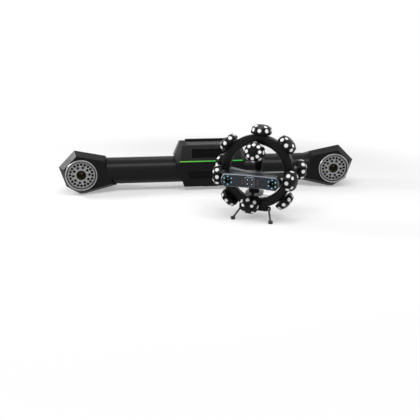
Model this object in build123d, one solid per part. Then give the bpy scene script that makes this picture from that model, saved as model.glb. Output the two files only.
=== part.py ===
"""Optical tracking scanner: a long stereo tracker bar and the handheld scanner with its stand."""
from math import atan2, cos, degrees, hypot, radians, sin, tan
import os

from build123d import *

os.makedirs("parts", exist_ok=True)

# Driving dimensions of the tracker bar, in millimetres. Heights are above the floor.
head_spacing = 940.0        # between the two lens axes
lens_height = 76.0          # lens axes above the floor
head_front = 67.0           # head front face ahead of the tube axis
head_toe_in = 10.5          # degrees, each head turns towards the middle
head_depth = 122.0          # front face to back cover
head_split = 92.0           # front face to the joint of shell and back cover
head_wall = 4.0
head_bevel_depth = 28.0
head_bevel_width = 15.0
head_outer_reach = 75.0     # outer corner from the lens axis
head_outer_rise = 29.0
head_peak_out = 16.0        # top corner
head_peak_rise = 86.0
head_inner_reach = 92.0     # upper corner on the tube side
head_inner_rise = 60.0
head_inner_foot = 126.0     # lower corner on the tube side
head_inner_drop = 52.0
head_low_reach = 55.0       # lower outer corner
head_low_drop = 45.0
head_sole = 9.0             # half width of the flat that rests on the floor
head_outer_fall = 20.0      # degrees, the upper facets fall towards the back
head_top_fall = 14.0
bezel_outer = 56.0          # radii of the bright rim round the lights
bezel_inner = 48.2
bezel_proud = 6.5
light_hole = 4.0            # radius
light_circles = [(20, 39.0, 4.5), (10, 28.0, 16.0)]    # count, radius, turn outwards in degrees
lens_opening = 17.0         # radius
lens_tube_proud = 1.0       # ahead of the light plate
lens_wall = 2.6
lens_glass_depth = 12.0     # glass behind the head's front face
camera_side = 46.0
camera_length = 42.0
camera_chamfer = 4.0
lens_tube_behind = 26.0     # lens tube behind the glass
lens_curve = 30.0           # radius of the front glass
screw_head = 3.0            # radii and lengths of the housing screws
screw_rise = 1.4
screw_shank = 1.5
screw_socket = 1.7
head_screws = [(50.0, -12.0), (-4.0, 44.0), (-86.0, 24.0), (-104.0, -38.0), (36.0, -38.0)]

tube_radius = 49.4
tube_wall = 4.0
tube_height = 74.0          # tube axis above the floor
tube_reach = 412.0          # half length of the tube

housing_ridge_out = 72.0    # front ridge ahead of the tube axis
housing_ridge_height = 117.0
housing_shoulder_out = 44.0
housing_shoulder_height = 171.0
housing_shoulder_half = 105.0
housing_top = 182.0
housing_top_flat = 6.0      # half width of the flat along the top
housing_base_out = 50.0
housing_base = 16.0
housing_half = 136.0        # half length at its widest
housing_ridge_half = 117.0
housing_top_half = 110.0
housing_base_half = 98.0
housing_wide_height = 128.0
housing_wide_out = 30.0
housing_wall = 3.0

window_half = 71.0
window_height = 34.8
window_above_ridge = 12.4
window_thickness = 2.0
window_corner = 1.5
window_seat = 4.0           # width of the ledge behind the window
window_seat_depth = 3.0
display_depth = 8.0
strip_half = 116.0
strip_height = 3.6
strip_proud = 1.6
strip_depth = 7.0
recess_top_half = 86.0
recess_bottom_half = 74.0
recess_below_ridge = 40.0
recess_height = 31.0
recess_depth = 7.0
grille_thickness = 3.0
grille_slot = 3.0
grille_pitch = 8.0
grille_margin = 5.0         # solid edge above and below the slots

power_button_x = 70.0
power_button_height = 130.0
power_button_depth = 10.0
plate_from_end = 76.0       # middle of the socket plate on the back, from the housing's end
plate_x = plate_from_end - housing_half
plate_below_ridge = 45.0
plate_width = 74.0
plate_height = 30.0
plate_corner = 4.0
plate_thickness = 4.0
power_socket_x = -20.0      # from the plate's middle
power_socket_radius = 9.0
power_socket_bore = 7.0
power_pin_circle = 3.0
network_socket_x = 16.0
network_socket_width = 24.0
network_socket_height = 16.0
network_opening_width = 12.0
network_opening_height = 8.0
socket_depth = 10.0
housing_screw_insets = (28.0, 42.0)     # from the housing's ends
housing_screw_drops = (30.0, 75.0)      # below the ridge
housing_screws = [(housing_half - inset, drop)
                  for inset, drop in zip(housing_screw_insets, housing_screw_drops)]

saddle_x = 84.0             # cradles between tube and board
cradle_width = 12.0
cradle_thickness = 9.0
cradle_foot = 18.0          # lower edge above the tube axis
board_above_tube = 8.0
board_half_length = 90.0
board_half_width = 24.0
board_thickness = 1.6

handle_half = 95.0          # carrying handle, half length
handle_front_half = 86.0    # its ends run inwards to the front
handle_straight = 6.0
handle_groove = 1.2
handle_pad_half = 92.0      # rubber pad along the handle's top
handle_pad_front = 12.0
handle_pad_top = 188.0
handle_pad_edge = 1.5
hand_slot_half = 70.0
hand_slot_floor = 140.0
handle_under = 158.0
finger_hollow = 4.0         # under the handle
handle_front = 38.0
handle_back = 4.0
hand_slot_back = 34.0
hand_slot_front = 30.0

mount_drop = 10.0           # thread mouth above the floor
mount_half = 34.0
mount_chamfer = 8.0
mount_wrap = 14.0           # how far the block reaches up the tube
thread_radius = 3.97        # tapped for 3/8-16 UNC
thread_length = 13.0

button_radius = 8.0
button_travel = 1.5
button_proud = 2.5
fit_gap = 0.1               # radial clearance of running fits
seat_gap = 0.3              # between pieces of different bodies at rest
beyond = head_spacing       # reach of cutting blocks past every piece

# Driving dimensions of the handheld scanner. Its own frame has the ring's centre as origin,
# X to the right, Y to the back and Z up.
scanner_x = 107.0           # ring centre in the tracker's frame
scanner_y = -356.0
scanner_height = 146.5      # ring centre above the floor
scanner_turn = -26.8        # degrees about the vertical
ring_outer = 114.0
ring_inner = 86.0
ring_depth = 24.0
ring_chamfer = 3.0

dome_base = 28.5            # half widths across flats and heights, from the base to the top
dome_waist = 30.0
dome_waist_height = 6.0
dome_shoulder = 26.5
dome_shoulder_height = 20.0
dome_top = 13.0
dome_height = 26.5
dome_stem = 11.0            # radius of the stem under a dome
dome_lift = 1.5             # base above the ring
target_radius = 5.7         # on the band of the dome
target_crown_radius = 5.0
target_thickness = 0.6

bar_half = 92.0
bar_flat_half = 38.0
bar_toe = 10.0              # degrees, wings of the camera bar
bar_front = 82.0            # front face ahead of the ring's middle plane
bar_depth = 30.0
bar_split = 12.0            # front shell's depth
bar_height = 39.0
bar_middle = -12.5          # height of the bar's middle line
bar_corner = 13.0           # cut off at each corner
bar_bevel = 2.4             # along the front edges
lens_half = 66.5            # lens axes of the bar from its middle
bar_lens_radius = 9.0
bar_plate_radius = 15.6     # dark plate round each lens
bar_plate_depth = 2.0
bar_light_circle = 12.3
bar_light_radius = 2.3
bar_lights = 6
laser_width = 31.0
laser_height = 30.0
laser_proud = 4.0
laser_pitch = 12.8
laser_lens_radius = 4.0
indicator_offset = 23.8
indicator_pitch = 4.5
indicator_radius = 1.0
bar_lens_wall = 2.0
bar_lens_curve = 14.0       # radius of the front glass
laser_corner = 7.0
bar_screws = [(-10.0, 14.0), (-10.0, -14.0), (14.0, 0.0)]    # behind each lens, on the back
ring_screw_angles = (-159.0, -86.0, 77.0, 159.0)
ring_screw_circle = 100.0

hub_half = 24.0
hub_front = 52.0
hub_back = 26.0
hub_top = 8.0
hub_bottom = -32.0
spoke_top = 7.0
spoke_bottom = -7.0
spoke_root = 18.0           # width where it leaves the hub
spoke_tip = 9.0             # half width at the ring
spoke_bow = 58.0            # where the arcs bend, and how far forward
spoke_bow_front = 30.0
spoke_bow_back = 10.0
button_well = 8.0           # depth of the wells of the buttons
button_stands = 1.5         # caps behind the hub's back face
grip_half_width = 15.0
grip_half_depth = 18.0
grip_middle = -23.0
grip_foot_left = 26.0       # foot of the grip on the ring's front face, behind the bottom dome
grip_foot_right = 17.0
grip_foot_top = 80.0        # below the ring's centre
socket_radius = 6.5
socket_height = -47.0
collar_half = 25.0          # bright collar round the grip's foot
collar_depth = 21.0
collar_height = -61.0
collar_thickness = 9.0
lever_pin_x = 21.0
lever_length = 22.0
lever_knuckle = 5.0
lever_tip = 3.0             # half width at the free end
lever_thickness = 5.0
lever_pin_radius = 2.0
collar_corner = 6.0
lever_head = 3.5            # radius of the head under the lever
mast_half_width = 10.0
mast_half_depth = 8.0
mast_middle = 22.0
mast_below = 18.0           # top of the mast below the pod's mouth
pod_front = -32.0
pod_height = 65.0
pod_tilt = 18.0
pod_radius = 24.0
pod_end_radius = 18.0
pod_length = 78.0
pod_nose = 8.0              # length of the pod's rounded end

scan_button_radius = 6.5
side_button_radius = 4.0
side_button_offset = 15.0
scan_button_travel = 1.2
button_height = -18.0        # the row of buttons on the hub's back

saddle_half = 38.0
saddle_front = 9.0
saddle_back = 26.0
saddle_bottom = -124.0
saddle_side_top = -105.0
saddle_side_back = 4.0
saddle_back_half = 12.0
ear_radius = 5.0
ear_root = 12.0
leg_radius = 3.0
leg_spread = 57.0           # degrees from the vertical
leg_pin_radius = 1.5
leg_ear = 3.0
foot_radius = 7.0
foot_height = 8.0
leg_in_foot = 4.2           # height of the rod's end above the floor

# Places of the domes. Ring domes: angle from the top in degrees, distance behind the middle plane.
ring_domes = {
    "dome_top": (4.0, 4.0),
    "dome_upper_left": (-48.0, 0.0),
    "dome_upper_right": (45.0, 0.0),
    "dome_lower_left": (-137.0, -4.0),
    "dome_lower_right": (133.0, -4.0),
}

arm_tilt = 20.0             # degrees, side domes from the sideways direction
arm_thickness = 5.0
arm_half_height = 9.0
arm_root = 15.0             # width of a front arm at the ring
arm_pad = 14.0              # half width of the pad under a rear dome
arm_rear_half_height = 8.0
arm_rear_inner = 22.0       # foot of a rear arm, inside the ring's outer edge
arm_rear_outer = 6.0
front_dome_x = 103.0
front_dome_y = -40.5
front_dome_z = -10.0
rear_dome_x = 116.0
rear_dome_y = 41.5
rear_dome_z = 6.0
bottom_dome_x = -12.0
bottom_dome_y = -31.0
bottom_dome_z = -95.0
bottom_dome_tilt = 30.0     # degrees below the forward direction

# Folding stand under the ring: pin place of each leg and its heading in degrees.
pin_height = -115.0
leg_length = (scanner_height + pin_height - leg_in_foot) / cos(radians(leg_spread))
leg_roots = {
    "leg_left": (-44.0, -10.0, 248.0),
    "leg_right": (44.0, -10.0, -68.0),
    "leg_rear": (0.0, 32.0, 90.0),
}

tray = {}


def save(name, *solids):
    """Keep the solids of one node, in the tracker's frame with the floor at zero."""
    tray[name] = list(solids)


def flat(points):
    return make_face(Polyline(*points, close=True))


def prism_z(points, start, end):
    """A prism along Z from an outline in X and Y."""
    return extrude(Plane.XY.offset(start) * flat(points), amount=end - start)


def rod_x(radius, start, end, y=0.0, z=0.0):
    return Pos((start + end) / 2, y, z) * Rot(0, 90, 0) * Cylinder(radius, end - start)


def rod_y(radius, start, end, x=0.0, z=0.0):
    return Pos(x, (start + end) / 2, z) * Rot(90, 0, 0) * Cylinder(radius, end - start)


def rod_z(radius, start, end, x=0.0, y=0.0):
    return Pos(x, y, (start + end) / 2) * Cylinder(radius, end - start)


def block(x0, x1, y0, y1, z0, z1):
    return Pos((x0 + x1) / 2, (y0 + y1) / 2, (z0 + z1) / 2) * Box(x1 - x0, y1 - y0, z1 - z0)


def around_y(profile):
    """A solid of revolution about Y from an outline of radius and Y."""
    plane = Plane(origin=(0, 0, 0), x_dir=(1, 0, 0), z_dir=(0, 0, 1))
    return revolve(plane * flat(profile), Axis.Y)


def screw():
    """A flat-headed screw on Z with a six-sided socket; its head stands on the plane at zero."""
    body = rod_z(screw_head, 0.0, screw_rise) + rod_z(screw_shank, -head_wall + 0.5, 0.0)
    socket = Pos(0, 0, screw_rise - 1.0) * RegularPolygon(screw_socket, 6)
    return body - extrude(socket, amount=2.0)


def screw_hole():
    return rod_z(screw_shank, -head_wall + 0.5, 1.0)


def mirrored(points):
    """An outline given on its right half, closed by its mirror image."""
    return points + [(-x, y) for x, y in reversed(points)]


# Camera heads. Each is built with its lens axis along Y and its front face at zero.
def head_outline(side, inset=0.0):
    outline = [
        (side * head_outer_reach, head_outer_rise),
        (side * head_peak_out, head_peak_rise),
        (-side * head_inner_reach, head_inner_rise),
        (-side * head_inner_foot, -head_inner_drop),
        (-side * head_sole, -lens_height),
        (side * head_sole, -lens_height),
        (side * head_low_reach, -head_low_drop),
    ]
    face = flat(outline)
    if inset:
        face = offset(face, amount=-inset, kind=Kind.INTERSECTION)
    return face


def above_facet(side, inset, start, end, fall):
    """What lies over one upper facet of the head, which falls towards the back."""
    rise = end[1] - start[1]
    run = end[0] - start[0]
    length = hypot(rise, run)
    out = (side * rise / length, -run / length)
    origin = (side * start[0] - inset * out[0], head_bevel_depth, start[1] - inset * out[1])
    normal = (out[0] * cos(radians(fall)), sin(radians(fall)), out[1] * cos(radians(fall)))
    return extrude(Plane(origin=origin, z_dir=normal) * Rectangle(beyond, beyond), amount=beyond)


def head_block(side, inset, front, back):
    """The faceted head between two depths, with the wide bevel round its front face."""
    plane = Plane(origin=(0, head_bevel_depth, 0), x_dir=(1, 0, 0), z_dir=(0, -1, 0))
    face = plane * head_outline(side, inset)
    bevel = degrees(atan2(head_bevel_width, head_bevel_depth))
    nose = extrude(face, amount=head_bevel_depth - front, taper=bevel)
    body = extrude(face, amount=head_bevel_depth - back)
    outer = (head_outer_reach, head_outer_rise)
    peak = (head_peak_out, head_peak_rise)
    inner = (-head_inner_reach, head_inner_rise)
    body -= above_facet(side, inset, outer, peak, head_outer_fall)
    body -= above_facet(side, inset, peak, inner, head_top_fall)
    return nose + body


def head_place(side):
    return Pos(side * head_spacing / 2, -head_front, lens_height) * Rot(0, 0, -side * head_toe_in)


def light_centres(side):
    for count, radius, turn in light_circles:
        for step in range(count):
            angle = radians(360.0 * step / count - side * turn)
            yield radius * sin(angle), radius * cos(angle)


def make_head(side):
    outer = head_block(side, 0.0, 0.0, head_depth)
    inner = head_block(side, head_wall, head_wall, head_depth - head_wall)
    wall = outer - inner
    tube = head_place(side).inverse() * rod_x(tube_radius + fit_gap, -tube_reach, tube_reach, z=tube_height)
    wall -= tube
    wall -= rod_y(bezel_inner, -1.0, head_wall + 1.0)
    cut = block(-beyond, beyond, head_split, beyond, -beyond, beyond)
    shell = wall - cut
    back = wall & cut
    screw_places = [facing(side * x, head_depth, z, (0, 1, 0)) for x, z in head_screws]
    for place in screw_places:
        back -= place * screw_hole()
    profile = [
        (bezel_inner, 0.0),
        (bezel_outer, 0.0),
        (bezel_outer, -bezel_proud + 2.0),
        (bezel_outer - 2.0, -bezel_proud),
        (bezel_inner + 1.5, -bezel_proud),
        (bezel_inner, -bezel_proud + 1.5),
    ]
    bezel = around_y(profile)
    plate = rod_y(bezel_inner - fit_gap, 0.0, head_wall)
    plate -= rod_y(lens_opening, -1.0, head_wall + 1.0)
    plate -= [rod_y(light_hole, -1.0, head_wall + 1.0, x, z) for x, z in light_centres(side)]
    lights = [rod_y(light_hole - fit_gap, 2.0, head_wall + 3.0, x, z) for x, z in light_centres(side)]
    barrel_back = lens_glass_depth + lens_tube_behind
    barrel = rod_y(lens_opening - fit_gap, -lens_tube_proud, barrel_back)
    barrel -= rod_y(lens_opening - lens_wall, -lens_tube_proud - 1.0, barrel_back - lens_wall)
    glass = rod_y(lens_opening - lens_wall - fit_gap, lens_glass_depth - 6.0, lens_glass_depth + 4.0)
    glass &= Pos(0, lens_glass_depth + lens_curve - 5.0, 0) * Sphere(lens_curve)
    camera = block(-camera_side / 2, camera_side / 2, barrel_back, barrel_back + camera_length,
                   -camera_side / 2, camera_side / 2)
    camera = chamfer(camera.edges().filter_by(Axis.Y), camera_chamfer)
    place = head_place(side)
    return {
        "head_shells": place * shell,
        "bezel_rings": place * bezel,
        "light_plates": place * plate,
        "head_back_covers": place * back,
        "infrared_lights": [place * light for light in lights],
        "tracker_lens_barrels": place * barrel,
        "tracker_lenses": place * glass,
        "camera_bodies": place * camera,
        "tracker_screws": [place * screw_place * screw() for screw_place in screw_places],
    }


# Tube and central housing.
def housing_block(inset):
    """The faceted housing, or its cavity: three outlines cut into one another."""
    section = [
        (-housing_ridge_out, housing_ridge_height),
        (-housing_shoulder_out, housing_shoulder_height),
        (-housing_top_flat, housing_top),
        (housing_top_flat, housing_top),
        (housing_shoulder_out, housing_shoulder_height),
        (housing_ridge_out, housing_ridge_height),
        (housing_base_out, housing_base),
        (-housing_base_out, housing_base),
    ]
    front = mirrored([
        (housing_base_half, housing_base - 5.0),
        (housing_half, housing_wide_height),
        (housing_top_half, housing_top + 5.0),
    ])
    plan = mirrored([
        (housing_ridge_half, -housing_ridge_out - 5.0),
        (housing_half, -housing_wide_out),
        (housing_half, housing_wide_out),
        (housing_ridge_half, housing_ridge_out + 5.0),
    ])
    reach = 2 * housing_half
    faces = []
    for outline in (section, front, plan):
        face = flat(outline)
        if inset:
            face = offset(face, amount=-inset, kind=Kind.INTERSECTION)
        faces.append(face)
    along_x = Plane(origin=(-reach, 0, 0), x_dir=(0, 1, 0), z_dir=(1, 0, 0))
    along_y = Plane(origin=(0, reach, 0), x_dir=(1, 0, 0), z_dir=(0, -1, 0))
    solid = extrude(along_x * faces[0], amount=2 * reach)
    solid &= extrude(along_y * faces[1], amount=2 * reach)
    solid &= extrude(faces[2], amount=2 * reach)
    for side in (-1, 1):
        for face in (-1, 1):
            solid -= past_corner(side, face, inset)
    return solid


def past_corner(side, face, inset):
    """What lies outside the three-cornered facet at one shoulder of the housing."""
    low = Vector(side * housing_ridge_half, face * housing_ridge_out, housing_ridge_height)
    high = Vector(side * housing_shoulder_half, face * housing_shoulder_out, housing_shoulder_height)
    wide = Vector(side * housing_half, face * housing_wide_out, housing_wide_height)
    normal = (high - low).cross(wide - low).normalized()
    if normal.X * side < 0:
        normal = -normal
    plane = Plane(origin=low - normal * inset, z_dir=normal)
    return extrude(plane * Rectangle(beyond, beyond), amount=beyond)


upper_rise = housing_shoulder_height - housing_ridge_height
upper_run = housing_ridge_out - housing_shoulder_out
upper_tilt = degrees(atan2(upper_run, upper_rise))
lower_rise = housing_ridge_height - housing_base
lower_run = housing_ridge_out - housing_base_out
lower_tilt = degrees(atan2(lower_run, lower_rise))


def on_upper_facet(distance):
    """A plane on the upper front facet, at a distance above the ridge, facing outwards."""
    along = (0, sin(radians(upper_tilt)), cos(radians(upper_tilt)))
    normal = (0, -cos(radians(upper_tilt)), sin(radians(upper_tilt)))
    origin = (0, -housing_ridge_out + along[1] * distance, housing_ridge_height + along[2] * distance)
    return Plane(origin=origin, x_dir=(1, 0, 0), z_dir=normal)


def on_lower_facet(distance):
    """A plane on the lower front facet, at a distance below the ridge, facing outwards."""
    along = (0, sin(radians(lower_tilt)), -cos(radians(lower_tilt)))
    normal = (0, -cos(radians(lower_tilt)), -sin(radians(lower_tilt)))
    origin = (0, -housing_ridge_out + along[1] * distance, housing_ridge_height + along[2] * distance)
    return Plane(origin=origin, x_dir=(1, 0, 0), z_dir=normal)


def on_rear_facet(x, distance):
    """A plane on the lower rear facet, at a distance below the ridge, facing outwards."""
    run = tan(radians(lower_tilt)) * distance
    normal = (0, cos(radians(lower_tilt)), -sin(radians(lower_tilt)))
    origin = (x, housing_ridge_out - run, housing_ridge_height - distance)
    return Plane(origin=origin, x_dir=(-1, 0, 0), z_dir=normal)


def handle_zone(extra, back, low):
    """The space of the carrying handle, grown by a margin; its ends run inwards to the front."""
    plan = mirrored([
        (handle_half + extra, back),
        (handle_half + extra, -handle_straight),
        (handle_front_half + extra, -handle_front - extra),
    ])
    return prism_z(plan, low, beyond)


def make_housing():
    """The central housing with what it holds; returns the screws in its back."""
    outer = housing_block(0.0)
    cavity = housing_block(housing_wall)
    slot = block(-hand_slot_half, hand_slot_half, -hand_slot_front, hand_slot_back, hand_slot_floor, beyond)
    slot_walls = block(-hand_slot_half - housing_wall, hand_slot_half + housing_wall,
                       -hand_slot_front - housing_wall, hand_slot_back + housing_wall,
                       hand_slot_floor - housing_wall, beyond) & outer
    seat = handle_zone(housing_wall, handle_back + housing_wall, handle_under - housing_wall) & outer
    shell = (outer - cavity) + slot_walls + seat
    shell -= handle_zone(handle_groove, handle_back, handle_under)
    shell -= slot
    handle = handle_zone(0.0, handle_back, handle_under) & outer
    handle -= block(-hand_slot_half, hand_slot_half, -beyond, beyond, 0, handle_under + finger_hollow)
    save("top_handle", handle)
    pad = block(-handle_pad_half, handle_pad_half, -handle_pad_front, handle_back,
                housing_shoulder_height, handle_pad_top)
    pad = chamfer(pad.edges().group_by(Axis.Z)[-1], handle_pad_edge)
    save("handle_pad", pad - outer)

    window_middle = window_above_ridge + window_height / 2
    window_plane = on_upper_facet(window_middle)
    window_face = RectangleRounded(2 * window_half, window_height, window_corner)
    window = extrude(window_plane * window_face, amount=-window_thickness)
    behind = window_plane.offset(-window_thickness)
    frame_face = Rectangle(2 * (window_half + window_seat), window_height + 2 * window_seat)
    window_frame = extrude(behind * frame_face, amount=-window_seat_depth)
    opening = Rectangle(2 * (window_half - window_seat), window_height - 2 * window_seat)
    window_hole = extrude(behind * opening, amount=-2 * window_seat_depth)
    module_face = offset(opening, amount=-2 * fit_gap, kind=Kind.INTERSECTION)
    module = extrude(behind * module_face, amount=-display_depth)
    shell += window_frame & outer
    shell -= window
    shell -= window_hole
    save("display_window", window)
    save("display_module", module)

    strip = block(-strip_half, strip_half, -housing_ridge_out - strip_proud, -housing_ridge_out + strip_depth,
                  housing_ridge_height - strip_height / 2, housing_ridge_height + strip_height / 2)
    strip = chamfer(strip.edges().filter_by(Axis.X).group_by(Axis.Y)[0], 1.0)
    rail = block(-strip_half - 1, strip_half + 1, -housing_ridge_out, -housing_ridge_out + strip_depth + 2.0,
                 housing_ridge_height - strip_height, housing_ridge_height + strip_height) & outer
    shell += rail
    shell -= strip
    save("light_strip", strip)

    plane = on_lower_facet(recess_below_ridge)
    slope = (recess_top_half - recess_bottom_half)
    recess_outline = [
        (-recess_top_half, 0.0),
        (recess_top_half, 0.0),
        (recess_top_half, -recess_height / 3),
        (recess_top_half - slope, -recess_height),
        (-recess_top_half + slope, -recess_height),
        (-recess_top_half, -recess_height / 3),
    ]
    recess_face = flat(recess_outline)
    recess = extrude(plane * recess_face, amount=-recess_depth)
    recess_walls = extrude(plane * offset(recess_face, amount=housing_wall, kind=Kind.INTERSECTION),
                           amount=-recess_depth - housing_wall)
    shell += recess_walls & outer
    shell -= recess
    grille = extrude(plane.offset(-recess_depth) * offset(recess_face, amount=-fit_gap, kind=Kind.INTERSECTION),
                     amount=grille_thickness)
    count = int(2 * recess_bottom_half / grille_pitch) - 1
    for step in range(count):
        x = (step - (count - 1) / 2) * grille_pitch
        opening = Pos(x, -recess_height / 2, 0) * Rectangle(grille_slot, recess_height - 2 * grille_margin)
        grille -= extrude(plane.offset(-recess_depth) * opening, amount=grille_thickness + 1)
    save("front_grille", grille)

    shell -= rod_x(tube_radius + fit_gap, -beyond, beyond, z=tube_height)
    mount_seat = mount_half + fit_gap
    shell -= block(-mount_seat, mount_seat, -mount_seat, mount_seat, 0, tube_height - tube_radius)
    rise = power_button_height - housing_ridge_height
    surface = housing_ridge_out - rise * tan(radians(upper_tilt))
    deep = surface - power_button_depth
    at = (power_button_x, power_button_height)
    shell += rod_y(button_radius + 4.0, deep - 4.0, beyond, *at) & outer
    shell -= rod_y(button_radius + fit_gap, deep, beyond, *at)
    button = rod_y(button_radius, deep + button_travel + 0.5, surface + button_proud, *at)
    button = chamfer(button.edges().sort_by(Axis.Y)[-1], 1.0)
    save("power_button", button)

    plane = on_rear_facet(plate_x, plate_below_ridge)
    plate_face = RectangleRounded(plate_width, plate_height, plate_corner)
    plate = extrude(plane * plate_face, amount=-plate_thickness)
    plate_back = offset(plate_face, amount=housing_wall)
    shell += extrude(plane * plate_back, amount=-plate_thickness - housing_wall) & outer
    shell -= plate
    power_at = Pos(power_socket_x, 0, 0)
    network_at = Pos(network_socket_x, 0, 0)
    power_hole = extrude(plane * (power_at * Circle(power_socket_radius)), amount=-socket_depth)
    network_face = Rectangle(network_socket_width, network_socket_height)
    network_hole = extrude(plane * (network_at * network_face), amount=-socket_depth)
    shell -= power_hole + network_hole
    plate -= power_hole + network_hole
    power_body = Circle(power_socket_radius - fit_gap)
    power = extrude(plane.offset(1.5) * (power_at * power_body), amount=-socket_depth - 1.5)
    power -= extrude(plane.offset(1.5) * (power_at * Circle(power_socket_bore)), amount=-7.0)
    for turn in range(4):
        pin_at = power_at * Rot(0, 0, 90.0 * turn) * Pos(power_pin_circle, 0, 0)
        power += extrude(plane.offset(-5.5) * (pin_at * Circle(1.0)), amount=5.0)
    network_body = offset(network_face, amount=-fit_gap, kind=Kind.INTERSECTION)
    network = extrude(plane.offset(0.5) * (network_at * network_body), amount=-socket_depth - 0.5)
    network_opening = Rectangle(network_opening_width, network_opening_height)
    network -= extrude(plane.offset(0.5) * (network_at * network_opening), amount=-8.0)
    screws = []
    for x, below in housing_screws:
        for side in (-1, 1):
            place = on_rear_facet(side * x, below).location
            shell -= place * screw_hole()
            screws.append(place * screw())
    save("socket_plate", plate)
    save("sockets", power, network)

    front_shell = shell & block(-beyond, beyond, -beyond, 0, 0, beyond)
    rear_shell = shell & block(-beyond, beyond, 0, beyond, 0, beyond)
    save("housing_front_shell", front_shell)
    save("housing_rear_shell", rear_shell)
    return screws


def make_tube():
    tube = rod_x(tube_radius, -tube_reach, tube_reach, z=tube_height)
    tube -= rod_x(tube_radius - tube_wall, -tube_reach - 1, tube_reach + 1, z=tube_height)
    save("carbon_tube", tube)
    cradle_top = tube_height + tube_radius + board_above_tube
    cradles = []
    for x in (-saddle_x, saddle_x):
        ring = rod_x(tube_radius + cradle_thickness, x - cradle_width / 2, x + cradle_width / 2, z=tube_height)
        ring -= rod_x(tube_radius + fit_gap, x - cradle_width, x + cradle_width, z=tube_height)
        cradles.append(ring & block(-beyond, beyond, -beyond, beyond, tube_height + cradle_foot, cradle_top))
    save("tube_saddles", *cradles)
    board = block(-board_half_length, board_half_length, -board_half_width, board_half_width,
                  cradle_top, cradle_top + board_thickness)
    save("main_board", board)
    mount = block(-mount_half, mount_half, -mount_half, mount_half, mount_drop, tube_height)
    mount = chamfer(mount.edges().filter_by(Axis.Z), mount_chamfer)
    mount -= rod_x(tube_radius + fit_gap, -beyond, beyond, z=tube_height)
    mount &= block(-beyond, beyond, -beyond, beyond, 0, tube_height - tube_radius + mount_wrap)
    mount -= rod_z(thread_radius, mount_drop - 1, mount_drop + thread_length)
    save("mount_block", mount)


# Handheld scanner, built in its own frame.
def scanner_place():
    return Pos(scanner_x, scanner_y, scanner_height) * Rot(0, 0, scanner_turn)


def save_scanner(name, *solids):
    save(name, *[scanner_place() * solid for solid in solids])


def octagon(half_width, height):
    return Pos(0, 0, height) * Rot(0, 0, 22.5) * RegularPolygon(half_width, 8, major_radius=False)


def dome_body(stem):
    """An eight-sided dome standing on Z, with a short stem below it."""
    steps = [
        octagon(dome_base, 0.0),
        octagon(dome_waist, dome_waist_height),
        octagon(dome_shoulder, dome_shoulder_height),
        octagon(dome_top, dome_height),
    ]
    return loft(steps, ruled=True) + rod_z(dome_stem, -stem, 1.0)


def facet_disc(radius, low, high):
    """A disc on the middle of the facet between two points, each a half width and a height."""
    tilt = degrees(atan2(high[1] - low[1], low[0] - high[0]))
    disc = Pos(0, 0, target_thickness / 2) * Cylinder(radius, target_thickness)
    return Pos((low[0] + high[0]) / 2, 0, (low[1] + high[1]) / 2) * Rot(0, tilt, 0) * disc


def dome_targets():
    """Twelve reflecting discs: one on each facet of the band and one on every second crown facet."""
    waist = (dome_waist, dome_waist_height)
    shoulder = (dome_shoulder, dome_shoulder_height)
    top = (dome_top, dome_height)
    on_band = facet_disc(target_radius, waist, shoulder)
    on_crown = facet_disc(target_crown_radius, shoulder, top)
    discs = [Rot(0, 0, 45.0 * step) * on_band for step in range(8)]
    discs += [Rot(0, 0, 45.0 * step) * on_crown for step in (1, 3, 5, 7)]
    return discs


def facing(x, y, z, direction):
    """A place whose Z points along a direction."""
    return Plane(origin=(x, y, z), z_dir=direction).location


def ring_dome_place(angle, back):
    """On the ring's outer face, at an angle from the top and a distance behind the middle plane."""
    reach = ring_outer + dome_lift
    direction = (sin(radians(angle)), 0, cos(radians(angle)))
    return Plane(origin=(reach * direction[0], back, reach * direction[2]), x_dir=(0, 1, 0),
                 z_dir=direction).location


def make_ring():
    """The ring; returns the screws in its front face."""
    half = ring_depth / 2
    profile = [
        (ring_inner + ring_chamfer, -half),
        (ring_outer - ring_chamfer, -half),
        (ring_outer, -half + ring_chamfer),
        (ring_outer, half - ring_chamfer),
        (ring_outer - ring_chamfer, half),
        (ring_inner + ring_chamfer, half),
        (ring_inner, half - ring_chamfer),
        (ring_inner, -half + ring_chamfer),
    ]
    ring = around_y(profile)
    screws = []
    for angle in ring_screw_angles:
        x = ring_screw_circle * sin(radians(angle))
        z = ring_screw_circle * cos(radians(angle))
        place = facing(x, -half, z, (0, -1, 0))
        ring -= place * screw_hole()
        screws.append(place * screw())
    save_scanner("scanner_ring", ring)
    return screws


def make_domes():
    discs = []
    ring_space = rod_y(ring_outer, -beyond, beyond)
    for name, (angle, back) in ring_domes.items():
        place = ring_dome_place(angle, back)
        save_scanner(name, (place * dome_body(dome_lift + 3.0)) - ring_space)
        discs += [place * disc for disc in dome_targets()]
    for side, word in ((-1, "left"), (1, "right")):
        out = cos(radians(arm_tilt))
        along = sin(radians(arm_tilt))
        front = facing(side * front_dome_x, front_dome_y, front_dome_z, (side * out, -along, 0))
        rear = facing(side * rear_dome_x, rear_dome_y, rear_dome_z, (side * out, along, 0))
        for name, place in (("dome_front_", front), ("dome_rear_", rear)):
            save_scanner(name + word, place * dome_body(0.0))
            discs += [place * disc for disc in dome_targets()]
    down = radians(bottom_dome_tilt)
    bottom = facing(bottom_dome_x, bottom_dome_y, bottom_dome_z, (0, -cos(down), -sin(down)))
    save_scanner("dome_bottom", bottom * dome_body(0.0))
    discs += [bottom * disc for disc in dome_targets()]
    up = radians(pod_tilt)
    middle = facing(0, pod_front, pod_height, (0, -cos(up), sin(up)))
    save_scanner("dome_middle", middle * dome_body(0.0))
    discs += [middle * disc for disc in dome_targets()]
    save_scanner("dome_targets", *discs)


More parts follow.
